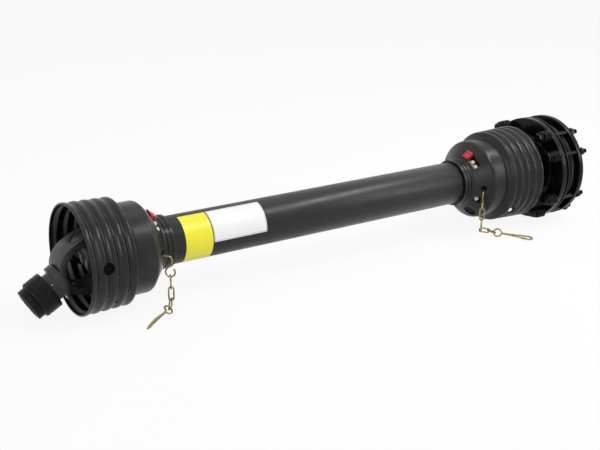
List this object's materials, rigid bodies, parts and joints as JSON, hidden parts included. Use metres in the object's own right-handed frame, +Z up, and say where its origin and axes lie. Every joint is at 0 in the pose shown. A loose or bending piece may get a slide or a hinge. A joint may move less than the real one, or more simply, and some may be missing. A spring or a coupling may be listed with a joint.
{
  "type": "pto drive shaft",
  "caption": "Telescoping drive shaft with two universal joints, ribbed plastic guard with check chains, quick-release yoke and spring-loaded friction clutch.",
  "frame": {"origin": "on the shaft's axis at the mouth of the clutch hub's splined bore", "axes": "+X along the shaft out of the clutch hub towards the implement, +Z up as the shaft lies on the ground, -Y towards the chains"},
  "size_m": [0.9934, 0.1998, 0.176],
  "materials": {
    "yoke_paint": "satin grey enamel",
    "clutch_paint": "gloss black enamel",
    "collar_black": "satin black",
    "guard_plastic": "satin moulded",
    "tube_plastic": "satin extruded",
    "nylon": "plain",
    "red_plastic": "plain",
    "yellow_film": "printed film, plain field",
    "white_film": "printed film, plain field",
    "lining": "pressed fibre lining",
    "bronze": "turned",
    "seal_rubber": "plain",
    "yellow_zinc": "yellow zinc plated wire",
    "bright_steel": "turned or bright zinc",
    "oiled_steel": "dark oiled forging"
  },
  "bodies": {
    "clutch_driven": {"clutch_hub": "clutch_paint", "clutch_lined_disc": "lining", "friction_rings": "lining", "hub_set_screw": "bright_steel"},
    "clutch_driver": {"clutch_flange_yoke": "clutch_paint", "clutch_drive_ring": "clutch_paint", "clutch_pressure_plate": "clutch_paint", "clutch_bolts": "clutch_paint", "clutch_washers": "clutch_paint", "clutch_springs": "clutch_paint", "clutch_nuts": "clutch_paint", "hub_bush": "bronze", "rear_flange_caps": "oiled_steel", "rear_flange_circlips": "oiled_steel"},
    "rear_spider": {"rear_cross": "oiled_steel", "rear_cross_seals": "seal_rubber", "rear_grease_nipple": "bright_steel"},
    "drive_rear": {"rear_tube_yoke": "yoke_paint", "inner_drive_tube": "bright_steel", "rear_tube_pin": "bright_steel", "rear_tube_caps": "oiled_steel", "rear_tube_circlips": "oiled_steel"},
    "guard_rear": {"guard_skirt_rear": "guard_plastic", "guard_bell_rear": "guard_plastic", "guard_bearing_rear": "nylon", "guard_tube_inner": "tube_plastic"},
    "lock_rear": {"lock_tab_rear": "red_plastic"},
    "drive_front": {"front_tube_yoke": "yoke_paint", "outer_drive_tube": "bright_steel", "front_tube_pin": "bright_steel", "front_tube_caps": "oiled_steel", "front_tube_circlips": "oiled_steel"},
    "guard_front": {"guard_skirt_front": "guard_plastic", "guard_bell_front": "guard_plastic", "guard_bearing_front": "nylon", "guard_tube_outer": "tube_plastic", "yellow_field": "yellow_film", "white_field": "white_film"},
    "lock_front": {"lock_tab_front": "red_plastic"},
    "front_spider": {"front_cross": "oiled_steel", "front_cross_seals": "seal_rubber", "front_grease_nipple": "bright_steel"},
    "tractor_yoke": {"quick_release_yoke": "yoke_paint", "lock_balls": "bright_steel", "collar_end_ring": "collar_black", "release_spring": "bright_steel", "front_yoke_caps": "oiled_steel", "front_yoke_circlips": "oiled_steel"},
    "collar": {"release_collar": "collar_black"},
    "s_hook_front": {"s_hook_front": "yellow_zinc"},
    "link_front_1": {"chain_link_front_1": "yellow_zinc"},
    "link_front_2": {"chain_link_front_2": "yellow_zinc"},
    "link_front_3": {"chain_link_front_3": "yellow_zinc"},
    "snap_hook_front": {"snap_hook_front": "yellow_zinc"},
    "s_hook_rear": {"s_hook_rear": "yellow_zinc"},
    "link_rear_1": {"chain_link_rear_1": "yellow_zinc"},
    "link_rear_2": {"chain_link_rear_2": "yellow_zinc"},
    "link_rear_3": {"chain_link_rear_3": "yellow_zinc"},
    "link_rear_4": {"chain_link_rear_4": "yellow_zinc"},
    "snap_hook_rear": {"snap_hook_rear": "yellow_zinc"}
  },
  "joints": [
    {"name": "clutch_slip", "type": "hinge", "parent": "clutch_driven", "child": "clutch_driver", "pos_m": [-0.05, 0, 0], "axis": [1, 0, 0], "continuous": true},
    {"name": "rear_flange_pivot", "type": "hinge", "parent": "clutch_driver", "child": "rear_spider", "pos_m": [-0.1334, 0, 0], "axis": [0, 0, 1], "range_deg": [-14, 14]},
    {"name": "rear_tube_pivot", "type": "hinge", "parent": "rear_spider", "child": "drive_rear", "pos_m": [-0.1334, 0, 0], "axis": [0, 1, 0], "range_deg": [-14, 14]},
    {"name": "guard_rear_spin", "type": "hinge", "parent": "drive_rear", "child": "guard_rear", "pos_m": [-0.2169, 0, 0], "axis": [1, 0, 0], "continuous": true},
    {"name": "lock_rear_press", "type": "slide", "parent": "guard_rear", "child": "lock_rear", "axis": [0, 0.2639, -0.9646], "range_m": [0, 0.0025], "stiffness_N_per_m": 400, "springref_m": -0.001},
    {"name": "telescope", "type": "slide", "parent": "drive_rear", "child": "drive_front", "axis": [-1, 0, 0], "range_m": [0, 0.3]},
    {"name": "guard_front_spin", "type": "hinge", "parent": "drive_front", "child": "guard_front", "pos_m": [-0.8061, 0, 0], "axis": [1, 0, 0], "continuous": true},
    {"name": "lock_front_press", "type": "slide", "parent": "guard_front", "child": "lock_front", "axis": [0, 0.2639, -0.9646], "range_m": [0, 0.0025], "stiffness_N_per_m": 400, "springref_m": -0.001},
    {"name": "front_tube_pivot", "type": "hinge", "parent": "drive_front", "child": "front_spider", "pos_m": [-0.8896, 0, 0], "axis": [0, 1, 0], "range_deg": [-5.5, 64.5]},
    {"name": "front_yoke_pivot", "type": "hinge", "parent": "front_spider", "child": "tractor_yoke", "pos_m": [-0.8896, 0, 0], "axis": [-0.4924, 0, 0.8704], "range_deg": [-28, 28]},
    {"name": "collar_pull", "type": "slide", "parent": "tractor_yoke", "child": "collar", "axis": [0.8704, 0, 0.4924], "range_m": [0, 0.007], "stiffness_N_per_m": 2500, "springref_m": -0.004, "deforming": ["release_spring"]},
    {"name": "s_hook_front_swing", "type": "hinge", "parent": "guard_front", "child": "s_hook_front", "pos_m": [-0.8074, -0.05153, -0.0007], "axis": [0.7547, -0.6561, 0], "range_deg": [-20, 20]},
    {"name": "link_front_1_swing", "type": "hinge", "parent": "s_hook_front", "child": "link_front_1", "pos_m": [-0.79978, -0.05815, -0.0309], "axis": [0.7547, -0.6561, 0], "range_deg": [-20, 20]},
    {"name": "link_front_2_swing", "type": "hinge", "parent": "link_front_1", "child": "link_front_2", "pos_m": [-0.79978, -0.05815, -0.04845], "axis": [0.4512, 0.8924, 0], "range_deg": [-18, 18]},
    {"name": "link_front_3_swing", "type": "hinge", "parent": "link_front_2", "child": "link_front_3", "pos_m": [-0.79978, -0.05815, -0.066], "axis": [0.9629, -0.27, 0], "range_deg": [-18, 18]},
    {"name": "snap_hook_front_swing", "type": "hinge", "parent": "link_front_3", "child": "snap_hook_front", "pos_m": [-0.80936, -0.07134, -0.07233], "axis": [0.3094, -0.6103, 0.7293], "range_deg": [-18, 18]},
    {"name": "s_hook_rear_swing", "type": "hinge", "parent": "guard_rear", "child": "s_hook_rear", "pos_m": [-0.2156, -0.05157, -0.0052], "axis": [-0.7547, -0.6561, 0], "range_deg": [-20, 20]},
    {"name": "link_rear_1_swing", "type": "hinge", "parent": "s_hook_rear", "child": "link_rear_1", "pos_m": [-0.22322, -0.05819, -0.0354], "axis": [-0.7547, -0.6561, 0], "range_deg": [-20, 20]},
    {"name": "link_rear_2_swing", "type": "hinge", "parent": "link_rear_1", "child": "link_rear_2", "pos_m": [-0.22533, -0.06038, -0.05269], "axis": [0.6578, -0.753, 0.0154], "range_deg": [-18, 18]},
    {"name": "link_rear_3_swing", "type": "hinge", "parent": "link_rear_2", "child": "link_rear_3", "pos_m": [-0.22744, -0.06257, -0.06997], "axis": [0.7453, 0.644, -0.1725], "range_deg": [-18, 18]},
    {"name": "link_rear_4_swing", "type": "hinge", "parent": "link_rear_3", "child": "link_rear_4", "pos_m": [-0.21062, -0.06528, -0.07355], "axis": [0.1975, -0.3302, 0.923], "range_deg": [-18, 18]},
    {"name": "snap_hook_rear_swing", "type": "hinge", "parent": "link_rear_4", "child": "snap_hook_rear", "pos_m": [-0.19469, -0.06155, -0.07961], "axis": [-0.1298, 0.9711, 0.2001], "range_deg": [-18, 18]}
  ]
}
